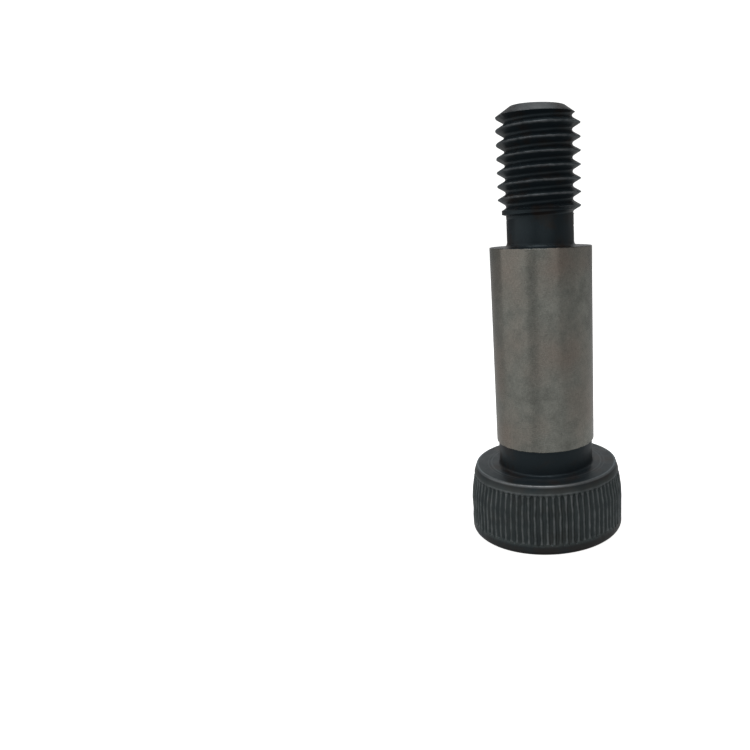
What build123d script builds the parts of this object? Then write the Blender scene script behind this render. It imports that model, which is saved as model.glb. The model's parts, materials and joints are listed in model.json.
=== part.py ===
from build123d import *
import math
import os

# Socket head shoulder bolt, turned from one bar: a knurled head with a hexagon socket, an undercut,
# a ground shoulder, and a threaded end that starts with an undercut of its own.
# Millimetres. The origin is the centre of the head's flat end, and +Z is the axis, towards the tip.

# Head
head_diameter = 15.75           # over the crests of the knurl
head_height = 7.0               # flat end to bearing face
rim_radius = 0.6                # round between the flat end and the side
taper_height = 2.75             # bearing face to where the side starts to draw in
taper_width = 0.35              # how far the side draws in, up to the chamfer
chamfer_height = 0.82           # bearing face to the chamfer's lower edge
chamfer_width = 0.275           # chamfer's lower edge to its upper edge, across the axis

# Straight knurl round the head, pressed in as V grooves that run out where the side draws in
knurl_count = 80
knurl_depth = 0.3
knurl_crest_width = 0.16
knurl_run_out = 0.4             # length of a groove's sloping lower end
knurl_rim_gap = 1.1             # flat end to the grooves

# Hexagon socket in the flat end
socket_width = 5.0              # across the flats
socket_depth = 4.5              # to the end of the flats
socket_point_angle = 120        # cone that the drill left at the bottom
socket_mouth_diameter = 6.2     # countersink, wider than the hexagon's corners
socket_mouth_angle = 120

# Undercut between the head and the shoulder
head_undercut_diameter = 9.65
head_undercut_length = 2.5
head_undercut_corner = 0.3      # bevel left in the corner at the bearing face

# Ground shoulder
shoulder_diameter = 10.0
shoulder_length = 22.0          # bearing face to the shoulder's end, undercut included
shoulder_edge_break = 0.08

# Threaded end, M8 x 1.25
thread_diameter = 8.0
thread_pitch = 1.25
threaded_end_length = 12.8      # shoulder's end to tip, undercut included
thread_undercut_diameter = 6.53
thread_undercut_length = 2.95
thread_undercut_corner = 0.4    # bevel left in the corner at the shoulder's end
thread_start_slope = 70         # cone that the thread starts on, from the axis
tip_chamfer_slope = 60          # from the axis
tip_diameter = 5.3              # flat of the tip
thread_start_angle = -13.0      # where a crest crosses the plane of the shoulder's end, from +X

# Places along the axis
shoulder_end_z = head_height + shoulder_length
thread_start_z = shoulder_end_z + thread_undercut_length
tip_z = shoulder_end_z + threaded_end_length


def turned_body():
    """Everything from the head to the end of the thread undercut, before the knurl and the socket."""
    head_r = head_diameter / 2
    chamfer_r = head_r - taper_width
    head_neck_r = head_undercut_diameter / 2
    shoulder_r = shoulder_diameter / 2
    thread_neck_r = thread_undercut_diameter / 2
    shoulder_start_z = head_height + head_undercut_length
    edge = shoulder_edge_break
    corners = [
        (0, 0),
        (head_r, 0),
        (head_r, head_height - taper_height),
        (chamfer_r, head_height - chamfer_height),
        (chamfer_r - chamfer_width, head_height),
        (head_neck_r + head_undercut_corner, head_height),
        (head_neck_r, head_height + head_undercut_corner),
        (head_neck_r, shoulder_start_z),
        (shoulder_r - edge, shoulder_start_z),
        (shoulder_r, shoulder_start_z + edge),
        (shoulder_r, shoulder_end_z - edge),
        (shoulder_r - edge, shoulder_end_z),
        (thread_neck_r + thread_undercut_corner, shoulder_end_z),
        (thread_neck_r, shoulder_end_z + thread_undercut_corner),
        (thread_neck_r, thread_start_z),
        (0, thread_start_z),
    ]
    fillets = [rim_radius if corner == (head_r, 0) else 0 for corner in corners]
    section = make_face(FilletPolyline(*corners, radius=fillets, close=True))
    return revolve(Plane.XZ * section, Axis.Z)


def knurl_grooves():
    """One roof-shaped cutter for each groove, its ridge line towards the axis."""
    head_r = head_diameter / 2
    length = head_height - knurl_rim_gap
    width = math.pi * head_diameter / knurl_count - knurl_crest_width
    overshoot = knurl_depth / 2     # height of the cutter outside the head
    growth = (knurl_depth + overshoot) / knurl_depth
    slope_length = knurl_run_out * growth
    base_length = length + slope_length - knurl_run_out
    cutter = Wedge(
        width * growth, knurl_depth + overshoot, base_length,
        width * growth / 2, slope_length, width * growth / 2, base_length,
        align=(Align.CENTER, Align.MIN, Align.MAX),
    )
    seat = Pos(head_r + overshoot, 0, head_height) * Rot(0, 0, 90)
    tooth_angle = 360 / knurl_count
    return [Rot(0, 0, (tooth + 0.5) * tooth_angle) * seat * cutter for tooth in range(knurl_count)]


def inward_cone(diameter, angle):
    """A cone that stands on z = 0 and rises to a point with the given included angle."""
    height = diameter / 2 / math.tan(math.radians(angle / 2))
    return Cone(diameter / 2, 0, height, align=(Align.CENTER, Align.CENTER, Align.MIN))


def hexagon_socket():
    """The hexagon, the drilled point at its end and its countersunk mouth."""
    hexagon = extrude(RegularPolygon(socket_width / 2, 6, major_radius=False), socket_depth)
    drilled_point = Pos(0, 0, socket_depth) * inward_cone(socket_width, socket_point_angle)
    mouth = inward_cone(socket_mouth_diameter, socket_mouth_angle)
    return hexagon + drilled_point + mouth


def endless_thread():
    """A rod with the 60 degree metric profile, longer than the thread at both ends.

    Its side is four helical strips, one for each side of the profile: the root flat of a fifth of
    the pitch, a flank, the crest flat of an eighth of the pitch and the other flank. Each end of
    the rod is one turn of a helicoid and the radial step that it leaves.
    """
    crest_r = thread_diameter / 2
    root_flat = thread_pitch / 5
    crest_flat = thread_pitch / 8
    flank = (thread_pitch - root_flat - crest_flat) / 2
    root_r = crest_r - flank / math.tan(math.radians(30))
    low_z = shoulder_end_z - (root_flat + flank + crest_flat / 2)
    turns = math.ceil((tip_z - low_z) / thread_pitch)
    high_z = low_z + turns * thread_pitch
    profile = [
        (root_r, 0),
        (root_r, root_flat),
        (crest_r, root_flat + flank),
        (crest_r, root_flat + flank + crest_flat),
        (root_r, thread_pitch),
    ]

    def helix(radius, start_z, turn_count):
        return Edge.make_helix(thread_pitch, turn_count * thread_pitch, radius, center=(0, 0, start_z))

    sides = [helix(radius, low_z + height, turns) for radius, height in profile]
    faces = [Face.make_surface_from_curves(lower, upper) for lower, upper in zip(sides, sides[1:])]
    for end_z in (low_z, high_z):
        axis_line = Edge.make_line((0, 0, end_z), (0, 0, end_z + thread_pitch))
        faces.append(Face.make_surface_from_curves(axis_line, helix(root_r, end_z, 1)))
        step = [(0, 0, end_z + thread_pitch), (0, 0, end_z)]
        step += [(radius, 0, end_z + height) for radius, height in profile]
        faces.append(Face(Wire.make_polygon(step, close=True)))
    return Rot(0, 0, thread_start_angle) * Solid(Shell(faces))


def thread():
    """The right-hand thread, cut off by a cone at each end."""
    neck_r = thread_undercut_diameter / 2
    tip_r = tip_diameter / 2
    outer_r = thread_diameter / 2 + thread_pitch
    start_slope = math.tan(math.radians(thread_start_slope))
    tip_slope = math.tan(math.radians(tip_chamfer_slope))
    blank = make_face(Polyline(
        (0, thread_start_z),
        (neck_r, thread_start_z),
        (outer_r, thread_start_z + (outer_r - neck_r) / start_slope),
        (outer_r, tip_z - (outer_r - tip_r) / tip_slope),
        (tip_r, tip_z),
        (0, tip_z),
        close=True,
    ))
    return endless_thread() & revolve(Plane.XZ * blank, Axis.Z)


shoulder_bolt = turned_body() - knurl_grooves() - hexagon_socket() + thread()

os.makedirs("parts", exist_ok=True)
export_step(shoulder_bolt, "parts/shoulder_bolt.step")
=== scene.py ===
import bpy
import json
import math
from mathutils import Matrix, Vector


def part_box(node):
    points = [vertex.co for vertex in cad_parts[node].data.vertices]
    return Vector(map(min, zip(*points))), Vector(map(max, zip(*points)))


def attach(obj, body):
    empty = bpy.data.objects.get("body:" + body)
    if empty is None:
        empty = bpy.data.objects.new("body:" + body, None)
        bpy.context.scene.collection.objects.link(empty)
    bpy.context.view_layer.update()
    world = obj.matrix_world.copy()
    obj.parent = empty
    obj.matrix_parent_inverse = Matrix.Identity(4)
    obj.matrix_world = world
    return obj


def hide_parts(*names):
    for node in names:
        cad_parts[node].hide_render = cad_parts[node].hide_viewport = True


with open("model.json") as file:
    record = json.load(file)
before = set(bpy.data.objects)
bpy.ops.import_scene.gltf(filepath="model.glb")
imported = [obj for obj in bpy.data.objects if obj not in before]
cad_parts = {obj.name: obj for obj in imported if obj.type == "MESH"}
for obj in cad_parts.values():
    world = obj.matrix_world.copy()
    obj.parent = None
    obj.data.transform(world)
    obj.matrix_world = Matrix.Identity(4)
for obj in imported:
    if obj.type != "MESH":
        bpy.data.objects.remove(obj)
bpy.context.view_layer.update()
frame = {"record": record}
print("frame loaded")

mm = 0.001
weld = mm / 1000                      # vertices this close together are one
touch = weld / 10                     # vertices this close to a plane lie in it
sameAngle = 0.0001                    # radians
mounts = {mount["name"]: mount for mount in frame["record"]["mounts"]}
boltLow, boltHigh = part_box("shoulder_bolt")


# small helpers

def deselectAll():
    if bpy.context.object and bpy.context.object.mode == "EDIT":
        bpy.ops.object.mode_set(mode="OBJECT")
    bpy.ops.object.select_all(action="DESELECT")


def makeActive(piece):
    deselectAll()
    piece.select_set(True)
    bpy.context.view_layer.objects.active = piece


def pickVertices(piece, wanted):      # leaves the piece in edit mode with only these vertices selected
    makeActive(piece)
    bpy.ops.object.mode_set(mode="EDIT")
    bpy.ops.mesh.select_mode(type="VERT")
    bpy.ops.mesh.select_all(action="DESELECT")
    bpy.ops.object.mode_set(mode="OBJECT")
    for vertex in piece.data.vertices:
        vertex.select = wanted(vertex.co)
    bpy.ops.object.mode_set(mode="EDIT")


def startOutline(name, r, z):         # one vertex on its own, from which the outline is drawn
    deselectAll()
    bpy.ops.mesh.primitive_plane_add(size=mm)
    piece = bpy.context.object
    piece.name = piece.data.name = name
    bpy.ops.object.mode_set(mode="EDIT")
    bpy.ops.mesh.select_all(action="SELECT")
    bpy.ops.mesh.merge(type="CENTER")
    bpy.ops.transform.translate(value=(r, 0, z))
    return piece


def drawOutline(points):              # from the selected vertex to each point in turn
    for (fromR, fromZ), (toR, toZ) in zip(points, points[1:]):
        step = (toR - fromR, 0, toZ - fromZ)
        bpy.ops.mesh.extrude_region_move(TRANSFORM_OT_translate={"value": step})


def roundCorner(piece, r, z, reach, steps):
    pickVertices(piece, lambda co: math.hypot(co.x - r, co.z - z) < weld)
    bpy.ops.mesh.bevel(affect="VERTICES", offset=reach, segments=steps, offset_type="OFFSET")


def mergeAndTurnOut(piece):
    makeActive(piece)
    bpy.ops.object.mode_set(mode="EDIT")
    bpy.ops.mesh.select_all(action="SELECT")
    bpy.ops.mesh.remove_doubles(threshold=weld)
    bpy.ops.mesh.normals_make_consistent(inside=False)
    bpy.ops.object.mode_set(mode="OBJECT")


def applyModifier(piece, kind, **settings):
    makeActive(piece)
    modifier = piece.modifiers.new(kind.title(), kind)
    for name, value in settings.items():
        setattr(modifier, name, value)
    bpy.ops.object.modifier_apply(modifier=modifier.name)


def cutAway(piece, cutter):
    applyModifier(piece, "BOOLEAN", operation="DIFFERENCE", object=cutter, solver="EXACT")
    bpy.data.objects.remove(cutter)


# turned blank, with the knurl pressed into it

turned = {
    "headRadius": (boltHigh.y - boltLow.y) / 2,
    "headHeight": mounts["bearing_face"]["pos_m"][2],
    "endShare": 0.5,                  # of the head's radius, closed as one face that the socket is cut from
    "rimRound": 0.6 * mm,
    "taperHeight": 2.75 * mm,         # bearing face to where the side starts to draw in
    "taperWidth": 0.35 * mm,
    "taperBlend": 0.9 * mm,           # how far the bend into the taper reaches each way
    "chamferHeight": 0.82 * mm,
    "chamferWidth": 0.275 * mm,
    "undercutRadius": 4.825 * mm,
    "undercutEnd": 9.5 * mm,
    "undercutFillet": 0.2 * mm,
    "shoulderRadius": mounts["shoulder"]["dims"]["r_mm"] * mm,
    "shoulderEnd": mounts["shoulder_end"]["pos_m"][2],
    "neckRadius": 3.265 * mm,
    "neckFillet": 0.45 * mm,
    "edgeRound": 0.07 * mm,           # what a file or a tumbler leaves on an edge
    "tipSlope": 55,                   # of the tip's chamfer, degrees from the axis
    "tipRadius": 2.65 * mm,
    "tipZ": boltHigh.z,
}
turned["chamferZ"] = turned["headHeight"] - turned["chamferHeight"]

knurl = {
    "count": 80,
    "columns": 12,                    # of the mesh, in one tooth
    "crestShare": 1 / 7,              # of a tooth, left flat
    "crestDrop": 0.03 * mm,           # crests are a little uneven, and the highest reach the head's size
    "depth": 0.24 * mm,
    "roundness": 1.7,                 # of a groove's bottom: 1 is a V, 2 is round
    "rimGap": 1.1 * mm,               # flat end to the grooves
    "chamferGap": 0.05 * mm,          # grooves to the chamfer
    "archLength": 0.4 * mm,           # rounded end of a groove
    "archRows": 5,
    "middleRows": 12,
}

thread = {
    "radius": mounts["thread"]["dims"]["r_mm"] * mm,
    "startZ": mounts["thread"]["pos_m"][2] - mounts["thread"]["dims"]["length_mm"] * mm / 2,
    "pitch": 1.25 * mm,
    "flankAngle": 30,
    "crestAngle": -13.0,              # degrees from +X, where a crest passes the height of the shoulder's end
    "crestFlat": 0.104 * mm,
    "crestRound": 0.035 * mm,
    "rootRound": 0.26 * mm,
    "stock": 0.2 * mm,                # bar left outside the crests for the die to take off
    "leadRadius": 3.66 * mm,          # the first crest is cut short where the thread starts
    "leadStep": 0.1 * mm,             # up from the neck
    "leadLength": 0.5 * mm,
    "stepsPerTurn": 128,
}


def sideRadius(z):                    # of the head: straight, then a soft bend into the taper
    bend = z - (turned["headHeight"] - turned["taperHeight"])
    reach = turned["taperBlend"]
    slope = turned["taperWidth"] / (turned["taperHeight"] - turned["chamferHeight"])
    drop = max(bend, 0) if abs(bend) > reach else (bend + reach) ** 2 / (4 * reach)
    return turned["headRadius"] - slope * drop


def knurlRows():
    low = knurl["rimGap"]
    high = turned["chamferZ"] - knurl["chamferGap"]
    arch, count = knurl["archLength"], knurl["archRows"]
    ends = [arch * (1 - math.cos(math.pi / 2 * row / count)) for row in range(count + 1)]
    rise = (high - low - 2 * arch) / knurl["middleRows"]
    middle = [arch + rise * row for row in range(1, knurl["middleRows"])]
    return [low + z for z in ends + middle] + [high - z for z in reversed(ends)]


def makeBlankSlice():
    head, height = turned["headRadius"], turned["headHeight"]
    stockRadius = thread["radius"] + thread["stock"]
    tipRise = (stockRadius - turned["tipRadius"]) / math.tan(math.radians(turned["tipSlope"]))
    chamferFoot = (sideRadius(turned["chamferZ"]), turned["chamferZ"])
    bearingEdge = (chamferFoot[0] - turned["chamferWidth"], height)
    shoulderFoot = (turned["shoulderRadius"], turned["undercutEnd"])
    shoulderTop = (turned["shoulderRadius"], turned["shoulderEnd"])
    undercut, neck, lead = turned["undercutRadius"], turned["neckRadius"], thread["leadRadius"]
    threadZ, leadLength = thread["startZ"], thread["leadLength"]
    outline = [(head * turned["endShare"], 0), (head, 0)]
    outline += [(sideRadius(z) - knurl["crestDrop"], z) for z in knurlRows()]
    outline += [chamferFoot, bearingEdge, (undercut, height)]
    outline += [(undercut, turned["undercutEnd"]), shoulderFoot, shoulderTop]
    outline += [(neck, turned["shoulderEnd"]), (neck, threadZ)]
    outline += [(lead, threadZ + thread["leadStep"]), (lead, threadZ + leadLength)]
    outline += [(stockRadius, threadZ + 2 * leadLength), (stockRadius, turned["tipZ"] - tipRise)]
    outline += [(turned["tipRadius"], turned["tipZ"])]
    piece = startOutline("boltBody", *outline[0])
    drawOutline(outline)
    corners = (                       # radius, height, reach, steps
        (head, 0, turned["rimRound"], 8),
        (*chamferFoot, turned["edgeRound"], 2),
        (*bearingEdge, turned["edgeRound"], 3),
        (undercut, height, turned["undercutFillet"], 6),
        (*shoulderFoot, turned["edgeRound"], 2),
        (*shoulderTop, turned["edgeRound"], 2),
        (neck, turned["shoulderEnd"], turned["neckFillet"], 6),
    )
    for corner in corners:
        roundCorner(piece, *corner)
    bpy.ops.mesh.select_all(action="SELECT")
    bpy.ops.mesh.spin(steps=knurl["columns"], angle=2 * math.pi / knurl["count"],
                      center=(0, 0, 0), axis=(0, 0, 1))
    return piece


def pressKnurl(piece):                # one groove, down the middle of the slice
    rows = knurlRows()
    angles = sorted({round(math.atan2(v.co.y, v.co.x), 6) for v in piece.data.vertices})
    middle = (angles[0] + angles[-1]) / 2
    half = (angles[-1] - angles[0]) / 2 * (1 - knurl["crestShare"])
    for z in rows[1:-1]:
        fromEnd = min(z - rows[0], rows[-1] - z, knurl["archLength"]) / knurl["archLength"]
        fullness = math.sqrt(1 - (1 - fromEnd) ** 2)
        for angle in angles[1:-1]:
            across = abs(angle - middle) / half / fullness
            if across < 1:
                depth = knurl["depth"] * fullness * (1 - across ** knurl["roundness"])
                keep = 1 - depth / sideRadius(z)
                pickVertices(piece, lambda co: abs(co.z - z) < touch
                             and abs(math.atan2(co.y, co.x) - angle) < sameAngle)
                bpy.ops.transform.resize(value=(keep, keep, 1), center_override=(0, 0, 0))


def closeBlank(piece):
    makeActive(piece)
    bpy.ops.object.mode_set(mode="EDIT")
    bpy.ops.mesh.select_all(action="SELECT")
    bpy.ops.mesh.spin(steps=knurl["count"], dupli=True, angle=2 * math.pi,
                      center=(0, 0, 0), axis=(0, 0, 1))
    mergeAndTurnOut(piece)
    headEnd = turned["headRadius"] * turned["endShare"]
    for endZ, endRadius in ((0, headEnd), (turned["tipZ"], turned["tipRadius"])):
        pickVertices(piece, lambda co: abs(co.z - endZ) < touch
                     and math.hypot(co.x, co.y) < endRadius + weld)
        bpy.ops.mesh.edge_face_add()
    mergeAndTurnOut(piece)


boltBody = makeBlankSlice()
bpy.ops.object.mode_set(mode="OBJECT")
pressKnurl(boltBody)
closeBlank(boltBody)
print("turned and knurled blank:", len(boltBody.data.polygons), "faces")


# thread, cut by a die

def makeDie():
    pitch, crest = thread["pitch"], thread["radius"]
    crestFlat = thread["crestFlat"]
    flank = math.tan(math.radians(thread["flankAngle"]))
    flankHeight = (pitch - crestFlat) / 2 / flank      # down to the sharp V
    turns = math.ceil((turned["tipZ"] - thread["startZ"]) / pitch) + 3
    neckTurns = math.floor((thread["startZ"] - turned["shoulderEnd"]) / pitch)
    crestZ = turned["shoulderEnd"] + pitch * (neckTurns - 1)
    outer = crest + 2 * thread["stock"]
    outline = [
        (outer, crestZ), (crest, crestZ), (crest, crestZ + crestFlat / 2),
        (crest - flankHeight, crestZ + pitch / 2),
        (crest, crestZ + pitch - crestFlat / 2), (crest, crestZ + pitch), (outer, crestZ + pitch),
    ]
    die = startOutline("threadDie", *outline[0])
    drawOutline(outline)
    rootReach = thread["rootRound"] / flank
    roundCorner(die, crest - flankHeight, crestZ + pitch / 2, rootReach, 6)
    for corner in (crestZ + crestFlat / 2, crestZ + pitch - crestFlat / 2):
        roundCorner(die, crest, corner, thread["crestRound"], 2)
    pickVertices(die, lambda co: abs(co.x - outer) < touch)
    bpy.ops.mesh.edge_face_add()
    bpy.ops.object.mode_set(mode="OBJECT")
    steps = thread["stepsPerTurn"]
    applyModifier(die, "SCREW", axis="Z", screw_offset=pitch, iterations=turns, angle=2 * math.pi,
                  steps=steps, render_steps=steps, use_merge_vertices=False)
    mergeAndTurnOut(die)
    bpy.ops.object.mode_set(mode="EDIT")
    bpy.ops.mesh.select_mode(type="FACE")
    bpy.ops.mesh.select_all(action="DESELECT")
    bpy.ops.object.mode_set(mode="OBJECT")
    for face in die.data.polygons:    # walls between one turn and the next
        x, y, z = face.center
        turn = (z - crestZ) / pitch - math.atan2(y, x) / (2 * math.pi) % 1
        isWall = crest + weld < math.hypot(x, y) < outer - thread["stock"] / 2
        face.select = isWall and 0.5 < turn < turns - 0.5
    bpy.ops.object.mode_set(mode="EDIT")
    bpy.ops.mesh.delete(type="FACE")
    for endTurn in (0, turns):        # the open section at each end of the helix
        endZ = crestZ + pitch * endTurn
        pickVertices(die, lambda co: abs(co.y) < touch and co.x > 0
                     and endZ - touch < co.z < endZ + pitch + touch)
        bpy.ops.mesh.edge_face_add()
    mergeAndTurnOut(die)
    bpy.ops.object.mode_set(mode="EDIT")
    bpy.ops.mesh.select_all(action="SELECT")
    bpy.ops.transform.rotate(value=-math.radians(thread["crestAngle"]), orient_axis="Z",
                             center_override=(0, 0, 0))
    bpy.ops.object.mode_set(mode="OBJECT")
    return die


die = makeDie()
cutAway(boltBody, die)
print("thread cut:", len(boltBody.data.polygons), "faces")


# hexagon socket

socket = {
    "width": 5.0 * mm,                # across the flats
    "depth": 4.5 * mm,
    "cornerRound": 0.12 * mm,         # what the broach leaves between two flats
    "cornerSteps": 3,
    "mouthRadius": 3.1 * mm,
    "coneAngle": 120,                 # of the drilled point and the mouth
    "coneSides": 96,
    "pointOverlap": 0.3 * mm,         # of the drilled point and the hexagon
    "clear": 1.0 * mm,                # cutters stand this far out of the head
}


def cutSocket(piece):
    halfFlat = math.radians(30)       # half the angle that one flat takes up
    radius = socket["width"] / 2 / math.cos(halfFlat)
    slope = math.tan(math.radians(socket["coneAngle"] / 2))
    deselectAll()
    bpy.ops.mesh.primitive_cylinder_add(
        vertices=6, radius=radius, depth=socket["depth"] + socket["clear"],
        location=(0, 0, (socket["depth"] - socket["clear"]) / 2), rotation=(0, 0, halfFlat))
    hexagon = bpy.context.object
    bpy.ops.object.transform_apply(location=True, rotation=True, scale=True)
    bpy.ops.object.mode_set(mode="EDIT")
    bpy.ops.mesh.select_mode(type="EDGE")
    bpy.ops.mesh.select_all(action="DESELECT")
    bpy.ops.object.mode_set(mode="OBJECT")
    for edge in hexagon.data.edges:
        low, high = (hexagon.data.vertices[end].co.z for end in edge.vertices)
        edge.select = abs(high - low) > mm
    bpy.ops.object.mode_set(mode="EDIT")
    bpy.ops.mesh.bevel(offset=socket["cornerRound"], segments=socket["cornerSteps"])
    bpy.ops.object.mode_set(mode="OBJECT")
    cutAway(piece, hexagon)
    cones = (                         # radius at a height, and how far the cone goes on below it
        (socket["width"] / 2, socket["depth"], socket["pointOverlap"]),
        (socket["mouthRadius"], 0, socket["clear"]),
    )
    for foot, z, below in cones:
        wide = foot + below * slope
        deselectAll()
        bpy.ops.mesh.primitive_cone_add(
            vertices=socket["coneSides"], radius1=wide, radius2=0, depth=wide / slope,
            location=(0, 0, z - below + wide / slope / 2))
        bpy.ops.object.transform_apply(location=True, rotation=True, scale=True)
        cone = bpy.context.object
        cutAway(piece, cone)


cutSocket(boltBody)
print("socket cut:", len(boltBody.data.polygons), "faces")


# handling marks and smooth shading

marks = {                             # size across and strength of each unevenness
    "lowRidgeEnds": (0.7 * mm, 0.45 * mm),
    "highRidgeEnds": (0.7 * mm, 0.25 * mm),
    "ridgeTops": (0.3 * mm, 0.12 * mm),
    "ridgeWaver": (0.8 * mm, 0.13 * mm),
    "crestNicks": (0.5 * mm, 0.09 * mm),
    "shoulderNicks": (0.6 * mm, 0.1 * mm),
    "endDrop": 0.25 * mm,             # the low ridge ends lie at most this far below where they were pressed
    "crestReach": 0.12 * mm,          # how far down from a thread's crest the nicks go
}


def displaceWithNoise(piece, name, direction, wanted):
    scale, strength = marks[name]
    pickVertices(piece, wanted)
    group = piece.vertex_groups.new(name=name)
    bpy.ops.object.vertex_group_assign()
    bpy.ops.object.mode_set(mode="OBJECT")
    noise = bpy.data.textures.new(name, "CLOUDS")
    noise.cloud_type = "COLOR" if direction == "RGB_TO_XYZ" else "GRAYSCALE"
    noise.noise_scale = scale
    applyModifier(piece, "DISPLACE", texture=noise, texture_coords="LOCAL", direction=direction,
                  strength=strength, mid_level=0.5, vertex_group=group.name)
    piece.vertex_groups.clear()


def roughenKnurl(piece):              # pressed ridges are never quite straight, nor do they all end alike
    low, high, arch = knurlRows()[0], knurlRows()[-1], knurl["archLength"]
    hair = mm / 100
    inner = turned["headRadius"] - turned["taperWidth"] - knurl["depth"]
    displaceWithNoise(piece, "lowRidgeEnds", "Z", lambda co:
                      low - hair < co.z < low + arch and math.hypot(co.x, co.y) > inner)
    displaceWithNoise(piece, "highRidgeEnds", "Z", lambda co:
                      high - arch < co.z < high - hair and math.hypot(co.x, co.y) > inner)
    displaceWithNoise(piece, "ridgeTops", "RGB_TO_XYZ", lambda co:
                      high - 2 * arch < co.z < high - hair and math.hypot(co.x, co.y) > inner)
    displaceWithNoise(piece, "ridgeWaver", "RGB_TO_XYZ", lambda co:
                      low - marks["endDrop"] < co.z < high and math.hypot(co.x, co.y) > inner)


def nickEdges(piece):                 # knocks along the thread's crests and the shoulder's two edges
    crest = thread["radius"] - marks["crestReach"]
    displaceWithNoise(piece, "crestNicks", "RGB_TO_XYZ", lambda co:
                      co.z > thread["startZ"] and math.hypot(co.x, co.y) > crest)
    reach = turned["edgeRound"]
    edge = turned["shoulderRadius"] - 0.8 * reach      # leaves the flat end of the shoulder flat
    for z in (turned["undercutEnd"], turned["shoulderEnd"]):
        displaceWithNoise(piece, "shoulderNicks", "Z", lambda co:
                          abs(co.z - z) < 1.5 * reach and math.hypot(co.x, co.y) > edge)


def smoothShading(piece):
    makeActive(piece)
    bpy.ops.object.shade_smooth_by_angle(angle=math.radians(45))
    applyModifier(piece, "WEIGHTED_NORMAL", keep_sharp=True, weight=80)


roughenKnurl(boltBody)
nickEdges(boltBody)
smoothShading(boltBody)
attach(boltBody, "root")
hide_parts("shoulder_bolt")
print("bolt body finished")


# materials

def linearColour(code):
    channels = [int(code[place:place + 2], 16) / 255 for place in (1, 3, 5)]
    return [c / 12.92 if c <= 0.04045 else ((c + 0.055) / 1.055) ** 2.4 for c in channels] + [1]


def addNode(owner, kind, inputs, output=None, **settings):      # returns the socket that is used next
    node = owner.node_tree.nodes.new("ShaderNode" + kind)
    for name, value in settings.items():
        setattr(node, name, value)
    for socketName, value in inputs.items():
        if isinstance(value, bpy.types.NodeSocket):
            owner.node_tree.links.new(value, node.inputs[socketName])
        else:
            node.inputs[socketName].default_value = value
    return node.outputs[output] if output else next(out for out in node.outputs if out.enabled)


def newMaterial(name, inputs):
    material = bpy.data.materials.new(name)
    material.use_nodes = True
    for socketName, value in inputs.items():
        material.node_tree.nodes["Principled BSDF"].inputs[socketName].default_value = value
    return material


def setShader(material, **links):
    shader = material.node_tree.nodes["Principled BSDF"]
    for socketName, value in links.items():
        material.node_tree.links.new(value, shader.inputs[socketName.replace("_", " ")])


# alloy steel, ground to size round its axis: the fine lines stretch each reflection along the bolt
groundSteel = {
    "light": "#abaca4",
    "dark": "#95968f",
    "warm": "#a69b91",
    "stretch": 0.9,
    "stretchTurn": 0.25,              # a quarter turn from the lines
    "lineHeight": 0.09 * mm,          # a 60 grit wheel's lines are a third of this: drawn coarser, to show
    "lineLength": 0.5 * mm,
    "lineShade": (0.94, 1.05),
    "lineRelief": 0.004 * mm,
    "blotch": 1.4 * mm,
    "blotchesPerWarmth": 4,           # warm stains are wider than the blotches
    "speckle": 0.16 * mm,             # pits and grains that the wheel leaves dull
    "speckleShade": (0.88, 1.09),
    "roughness": (0.24, 0.34),
}

# steel blackened in a hot salt bath and oiled: blue-black with brown patches, satin
blackOxide = {
    "blue": "#20282d",
    "brown": "#2b221d",
    "dry": "#565c5a",                 # where fingers have taken the oil off the knurl
    "film": "#d3e8f0",                # the oil's cool gleam
    "worn": "#94989a",                # bare steel, where the black has come off an edge, and the painted highlight along the ridges' and thread's crests
    "patch": 2.5 * mm,
    "patchRange": (0.5, 0.68),        # noise from which a patch begins, and from which it is all brown
    "headPatchRange": (0.35, 0.55),   # the same on the head's rim and chamfer, which are browner
    "scuffsPerPatch": 2.2,
    "grain": 0.07 * mm,               # the bath's crystals are finer still: drawn coarser, to show
    "grainRelief": 0.006 * mm,
    "turning": 0.1 * mm,              # a finishing cut's marks are half of this: drawn coarser, to show
    "turningRelief": 0.008 * mm,
    "roughness": (0.32, 0.46),
}

# shares from 0 to 1, of dry black where hands have been, and of bare steel where the black has come off, which
# along the ridges and the thread's crests is also a painted highlight
handledAndHighlit = {
    "dryBearing": 0.1,
    "dryRim": 0.12,
    "dryKnurl": 0.6,                  # at least, and up to 1 from place to place
    "dryGroove": 0.65,                # of what the ridge beside it has, so the grooves stay darker than the ridges
    "grooveDepth": (0.03 * mm, 0.15 * mm),
    "rings": (                        # radius, height, reach and share of circles that the tool or long use left
        (turned["tipRadius"], turned["tipZ"], 0.1 * mm, 1.0),
        (sideRadius(turned["chamferZ"]), turned["chamferZ"], 0.16 * mm, 0.6),
        (5.7 * mm, turned["headHeight"], 0.12 * mm, 0.3),
        (6.05 * mm, turned["headHeight"], 0.08 * mm, 0.2),
    ),
    "ridges": (0.08 * mm, 0.75),      # reach down from the crest, and share of bare steel, which here and on the thread's crests is also a painted highlight
    "threads": (0.13 * mm, 0.6),
    "rubbed": (0.15, 0.95),           # from place to place, for the bare steel and the painted crest highlights
    "bearingEdge": (0.24 * mm, 0.6),  # reach, and least share
}


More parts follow.
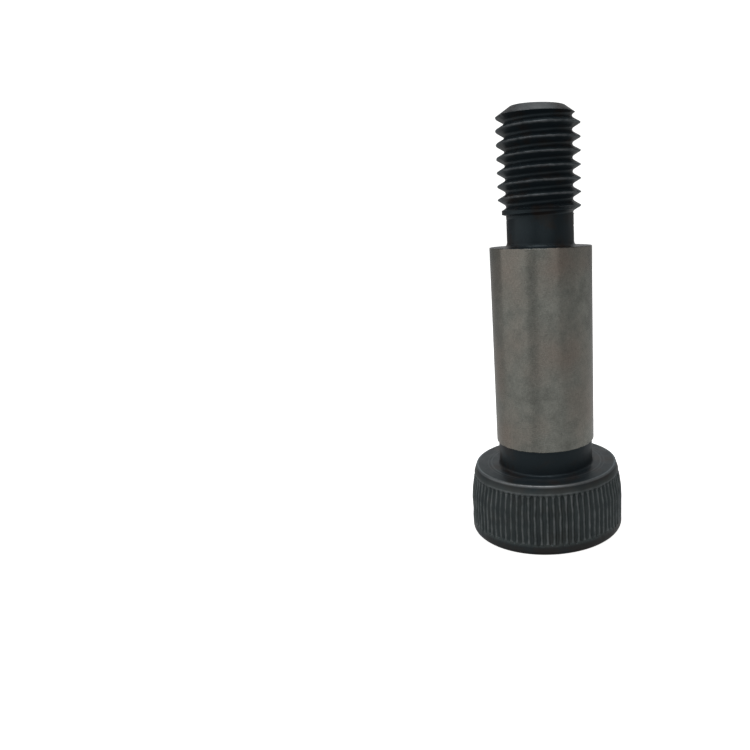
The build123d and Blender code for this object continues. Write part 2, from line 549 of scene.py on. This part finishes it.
def makeGroundSteel(look):
    material = newMaterial("groundSteel", {
        "Metallic": 1.0, "Anisotropic": look["stretch"], "Anisotropic Rotation": look["stretchTurn"]})
    place = addNode(material, "TexCoord", {}, output="Object")
    linePlace = addNode(material, "Mapping", {
        "Vector": place, "Scale": (1 / look["lineLength"], 1 / look["lineLength"], 1 / look["lineHeight"])})
    lines = addNode(material, "TexNoise", {
        "Vector": linePlace, "Scale": 1.0, "Detail": 4.0, "Roughness": 0.6})
    blotches = addNode(material, "TexNoise", {
        "Vector": place, "Scale": 1 / look["blotch"], "Detail": 3.0, "Roughness": 0.6})
    blotches = addNode(material, "MapRange", {"Value": blotches, "From Min": 0.35, "From Max": 0.65})
    tone = addNode(material, "Mix", {
        0: blotches, 6: linearColour(look["dark"]), 7: linearColour(look["light"])}, data_type="RGBA")
    warmth = addNode(material, "TexNoise", {
        "Vector": place, "Scale": 1 / look["blotchesPerWarmth"] / look["blotch"], "Detail": 3.0})
    warmth = addNode(material, "MapRange", {"Value": warmth, "From Min": 0.45, "From Max": 0.7})
    tone = addNode(material, "Mix", {0: warmth, 6: tone, 7: linearColour(look["warm"])}, data_type="RGBA")
    grains = addNode(material, "Mapping", {"Vector": place, "Scale": (1, 1, 0.6)})
    speckle = addNode(material, "TexNoise", {
        "Vector": grains, "Scale": 1 / look["speckle"], "Detail": 2.0})
    for pattern, (low, high) in ((lines, look["lineShade"]), (speckle, look["speckleShade"])):
        shade = addNode(material, "MapRange", {
            "Value": pattern, "From Min": 0.3, "From Max": 0.7, "To Min": low, "To Max": high})
        tone = addNode(material, "VectorMath", {0: tone, "Scale": shade}, operation="SCALE")
    low, high = look["roughness"]
    rough = addNode(material, "MapRange", {
        "Value": lines, "From Min": 0.3, "From Max": 0.7, "To Min": low, "To Max": high})
    bump = addNode(material, "Bump", {
        "Height": lines, "Strength": 0.3, "Distance": look["lineRelief"]}, output="Normal")
    aroundAxis = addNode(material, "Tangent", {}, direction_type="RADIAL", axis="Z")
    setShader(material, Base_Color=tone, Roughness=rough, Normal=bump, Tangent=aroundAxis)
    return material


def nearRing(material, radial, r, z, reach):       # 1 on the circle of radius r at height z, 0 from reach away
    gap = addNode(material, "VectorMath", {0: radial, 1: (r, 0, z)}, operation="DISTANCE")
    return addNode(material, "MapRange", {"Value": gap, "From Min": reach, "From Max": reach * 0.3})


def browned(material, z, patches, look):           # the plain rim and the chamfer of the head
    height, chamferZ = turned["headHeight"], turned["chamferZ"]
    onRim = addNode(material, "MapRange", {
        "Value": z, "From Min": knurl["rimGap"], "From Max": knurl["rimGap"] * 0.7})
    onChamfer = addNode(material, "MapRange", {
        "Value": z, "From Min": chamferZ, "From Max": chamferZ + 0.1 * mm})
    onHead = addNode(material, "Math", {0: z, 1: height - 0.03 * mm}, operation="LESS_THAN")
    onChamfer = addNode(material, "Math", {0: onChamfer, 1: onHead}, operation="MULTIPLY")
    share = addNode(material, "Math", {0: onRim, 1: onChamfer}, operation="MAXIMUM")
    low, high = look["headPatchRange"]
    patches = addNode(material, "MapRange", {"Value": patches, "From Min": low, "From Max": high})
    return addNode(material, "Math", {0: share, 1: patches}, operation="MULTIPLY")


def dried(material, r, z, crestR, scuffs):         # the head's side, most of all its ridges
    head, height, chamferZ = turned["headRadius"], turned["headHeight"], turned["chamferZ"]
    belowFace = addNode(material, "MapRange", {
        "Value": z, "From Min": height, "From Max": chamferZ - 0.2 * mm, "To Min": handledAndHighlit["dryBearing"]})
    aboveRim = addNode(material, "MapRange", {
        "Value": z, "From Min": knurl["rimGap"] * 0.8, "From Max": knurl["rimGap"] * 1.1,
        "To Min": handledAndHighlit["dryRim"]})
    outside = addNode(material, "MapRange", {"Value": r, "From Min": head * 0.6, "From Max": head * 0.9})
    uneven = addNode(material, "MapRange", {
        "Value": scuffs, "From Min": 0.3, "From Max": 0.7, "To Min": handledAndHighlit["dryKnurl"]})
    depth = addNode(material, "Math", {0: crestR, 1: r}, operation="SUBTRACT")
    low, high = handledAndHighlit["grooveDepth"]
    onRidge = addNode(material, "MapRange", {
        "Value": depth, "From Min": low, "From Max": high, "To Min": 1.0, "To Max": handledAndHighlit["dryGroove"]})
    share = belowFace
    for factor in (aboveRim, outside, uneven, onRidge):
        share = addNode(material, "Math", {0: share, 1: factor}, operation="MULTIPLY")
    return share


def worn(material, r, z, radial, crestR, scuffs):  # rings, ridges and crests, then the bearing face's edge: bare steel, with a painted highlight along the ridges and the thread's crests
    head, height, chamferZ = turned["headRadius"], turned["headHeight"], turned["chamferZ"]
    share = 0.0
    for ringR, ringZ, reach, most in handledAndHighlit["rings"]:
        ring = nearRing(material, radial, ringR, ringZ, reach)
        ring = addNode(material, "Math", {0: ring, 1: most}, operation="MULTIPLY")
        share = addNode(material, "Math", {0: share, 1: ring}, operation="MAXIMUM")
    crests = (                        # radius, lowest and highest, reach and share
        (crestR, knurl["rimGap"] * 1.15, chamferZ - 0.2 * mm, *handledAndHighlit["ridges"]),
        (thread["radius"], thread["startZ"], turned["tipZ"], *handledAndHighlit["threads"]),
    )
    # bare steel along each crest, which is also its painted highlight
    for topR, lowZ, highZ, reach, most in crests:
        depth = addNode(material, "Math", {0: topR, 1: r}, operation="SUBTRACT")
        crest = addNode(material, "MapRange", {
            "Value": depth, "From Min": reach, "From Max": reach * 0.3, "To Max": most})
        above = addNode(material, "Math", {0: z, 1: lowZ}, operation="GREATER_THAN")
        below = addNode(material, "Math", {0: z, 1: highZ}, operation="LESS_THAN")
        for limit in (above, below):
            crest = addNode(material, "Math", {0: crest, 1: limit}, operation="MULTIPLY")
        share = addNode(material, "Math", {0: share, 1: crest}, operation="MAXIMUM")
    low, high = handledAndHighlit["rubbed"]
    rubbed = addNode(material, "MapRange", {
        "Value": scuffs, "From Min": 0.35, "From Max": 0.65, "To Min": low, "To Max": high})
    share = addNode(material, "Math", {0: share, 1: rubbed}, operation="MULTIPLY")
    reach, least = handledAndHighlit["bearingEdge"]
    edgeR = head - turned["taperWidth"] - turned["chamferWidth"]
    edge = nearRing(material, radial, edgeR, height, reach)
    uneven = addNode(material, "MapRange", {
        "Value": scuffs, "From Min": 0.3, "From Max": 0.6, "To Min": least})
    edge = addNode(material, "Math", {0: edge, 1: uneven}, operation="MULTIPLY")
    return addNode(material, "Math", {0: share, 1: edge}, operation="MAXIMUM")


def makeBlackOxide(look):
    material = newMaterial("blackOxide", {"Specular Tint": linearColour(look["film"])})
    place = addNode(material, "TexCoord", {}, output="Object")
    flat = addNode(material, "VectorMath", {0: place, 1: (1, 1, 0)}, operation="MULTIPLY")
    r = addNode(material, "VectorMath", {0: flat}, output="Value", operation="LENGTH")
    z = addNode(material, "SeparateXYZ", {"Vector": place}, output="Z")
    radial = addNode(material, "CombineXYZ", {"X": r, "Z": z})
    patches = addNode(material, "TexNoise", {
        "Vector": place, "Scale": 1 / look["patch"], "Detail": 4.0, "Roughness": 0.6})
    scuffs = addNode(material, "TexNoise", {
        "Vector": place, "Scale": look["scuffsPerPatch"] / look["patch"], "Detail": 6.0, "Roughness": 0.7})
    grain = addNode(material, "TexNoise", {"Vector": place, "Scale": 1 / look["grain"], "Detail": 2.0})
    turning = addNode(material, "TexNoise", {"Vector": radial, "Scale": 1 / look["turning"], "Detail": 1.0})
    chamferZ = turned["chamferZ"]
    crestR = addNode(material, "MapRange", {       # of the knurl, at this height
        "Value": z, "From Min": turned["headHeight"] - turned["taperHeight"], "From Max": chamferZ,
        "To Min": turned["headRadius"] - knurl["crestDrop"],
        "To Max": sideRadius(chamferZ) - knurl["crestDrop"]})
    low, high = look["patchRange"]
    brown = addNode(material, "MapRange", {"Value": patches, "From Min": low, "From Max": high})
    # bare steel at the rings and edges, and painted highlights along the ridges and the thread's crests; it
    # also makes these metallic
    wearAndHighlight = worn(material, r, z, radial, crestR, scuffs)
    coats = (
        (brown, "brown"),
        (browned(material, z, patches, look), "brown"),
        (dried(material, r, z, crestR, scuffs), "dry"),
        (wearAndHighlight, "worn"),
    )
    tone = linearColour(look["blue"])
    for share, colour in coats:
        tone = addNode(material, "Mix", {0: share, 6: tone, 7: linearColour(look[colour])}, data_type="RGBA")
    low, high = look["roughness"]
    rough = addNode(material, "MapRange", {
        "Value": scuffs, "From Min": 0.3, "From Max": 0.7, "To Min": low, "To Max": high})
    bump = addNode(material, "Bump", {
        "Height": grain, "Strength": 0.4, "Distance": look["grainRelief"]}, output="Normal")
    bump = addNode(material, "Bump", {
        "Height": turning, "Normal": bump, "Strength": 0.4,
        "Distance": look["turningRelief"]}, output="Normal")
    setShader(material, Base_Color=tone, Metallic=wearAndHighlight, Roughness=rough, Normal=bump)
    return material


boltBody.data.materials.clear()
boltBody.data.materials.append(makeBlackOxide(blackOxide))
boltBody.data.materials.append(makeGroundSteel(groundSteel))
groundRadius = turned["shoulderRadius"] - turned["edgeRound"] * 0.5
for face in boltBody.data.polygons:   # only the outside of the shoulder was ground after blackening
    x, y, z = face.center
    onShoulder = turned["undercutEnd"] < z < turned["shoulderEnd"]
    face.material_index = int(onShoulder and math.hypot(x, y) > groundRadius)
print("materials set")


# floor, light and camera

studio = {
    "sweepRadius": 1.5,
    "sweepSides": 96,
    "standHole": 7.35 * mm,           # under the head, so that its end shows from below
    "paper": "#fbfbfa",
    "glow": 1.0,                      # lit through from behind, so that it stays white right up to the bolt
    "roomLight": 0.12,
    "floorLight": 0.46,               # what comes back up off the paper
    "floorHeights": (-0.9, -0.35, 0.05),   # of -1 to 1: the bolt's own shade, brightest, no more floor
    "lamps": {                        # place and size in millimetres, radiance as the room light's
        "keyLamp": {"place": (-320, -140, 170), "size": (520, 360), "radiance": 0.43},
        "frontLamp": {"place": (100, -387, 200), "size": (380, 340), "radiance": 0.35},
        "fillLamp": {"place": (386, 103, 170), "size": (420, 360), "radiance": 0.07},
        "topLamp": {"place": (-30, -80, 420), "size": (260, 220), "radiance": 3.0},
        "rimLamp": {"place": (0, 380, 140), "size": (420, 160), "radiance": 0.5},
        "backLamp": {"place": (0, 220, 290), "size": (120, 120), "radiance": 1.3},
    },
}

view = {                              # millimetres and degrees
    "place": (0, -66.7, 31.64),
    "pitch": 13.08,                   # looking down
    "yaw": -1.21,
    "roll": -1.708,
    "lens": 32.27,
    "shift": -0.2067,
    "clip": (1, 10000),
}


def makeSweep():                      # a pale floor and dome, seen by the camera but not by the bolt
    colour = linearColour(studio["paper"])
    paper = newMaterial("paperSweep", {
        "Base Color": colour, "Roughness": 0.9,
        "Emission Color": colour, "Emission Strength": studio["glow"]})
    radius, sides = studio["sweepRadius"], studio["sweepSides"]
    deselectAll()
    bpy.ops.mesh.primitive_circle_add(vertices=sides, radius=radius, fill_type="NGON")
    floor = bpy.context.object
    floor.name = "studioFloor"
    bpy.ops.object.mode_set(mode="EDIT")
    bpy.ops.mesh.select_all(action="SELECT")
    bpy.ops.mesh.inset(thickness=radius - studio["standHole"])
    bpy.ops.mesh.delete(type="FACE")
    deselectAll()
    bpy.ops.mesh.primitive_uv_sphere_add(segments=sides, ring_count=sides // 2, radius=radius)
    dome = bpy.context.object
    dome.name = "studioDome"
    pickVertices(dome, lambda co: co.z < -mm)
    bpy.ops.mesh.delete(type="VERT")
    bpy.ops.object.mode_set(mode="OBJECT")
    for sheet in (floor, dome):
        sheet.visible_diffuse = sheet.visible_glossy = sheet.visible_shadow = False
        sheet.data.materials.append(paper)


def makeLights():
    world = bpy.data.worlds.new("paleStudio")
    bpy.context.scene.world = world
    world.use_nodes = True
    background = world.node_tree.nodes["Background"]
    background.inputs["Color"].default_value = (1, 1, 1, 1)
    direction = addNode(world, "TexCoord", {}, output="Generated")
    height = addNode(world, "SeparateXYZ", {"Vector": direction}, output="Z")
    under, brightest, horizon = studio["floorHeights"]
    far = addNode(world, "MapRange", {
        "Value": height, "From Min": brightest, "From Max": horizon,
        "To Min": studio["floorLight"], "To Max": studio["roomLight"]})
    near = addNode(world, "MapRange", {
        "Value": height, "From Min": under, "From Max": brightest,
        "To Min": studio["roomLight"], "To Max": studio["floorLight"]})
    strength = addNode(world, "Math", {0: far, 1: near}, operation="MINIMUM")
    world.node_tree.links.new(strength, background.inputs["Strength"])
    for name, lamp in studio["lamps"].items():
        bpy.ops.object.light_add(type="AREA", location=[side * mm for side in lamp["place"]])
        light = bpy.context.object
        light.name = name
        light.data.shape = "RECTANGLE"
        light.data.size, light.data.size_y = (side * mm for side in lamp["size"])
        light.visible_camera = False
        light.data.energy = lamp["radiance"] * math.pi * light.data.size * light.data.size_y
        aim = light.location - (boltLow + boltHigh) / 2
        light.rotation_euler = aim.to_track_quat("Z", "Y").to_euler()


def makeCamera():
    bpy.ops.object.camera_add()
    camera = bpy.context.object
    place = Matrix.Translation([side * mm for side in view["place"]])
    yaw = Matrix.Rotation(-math.radians(view["yaw"]), 4, "Z")
    pitch = Matrix.Rotation(math.radians(90 - view["pitch"]), 4, "X")
    roll = Matrix.Rotation(math.radians(view["roll"]), 4, "Z")
    turn = yaw @ pitch
    camera.matrix_world = place @ turn @ roll
    camera.data.lens = view["lens"]
    camera.data.shift_x = view["shift"]
    camera.data.clip_start, camera.data.clip_end = (side * mm for side in view["clip"])
    bpy.context.scene.camera = camera


makeSweep()
makeLights()
makeCamera()
bpy.context.scene.view_settings.view_transform = "Standard"
print("stage set")
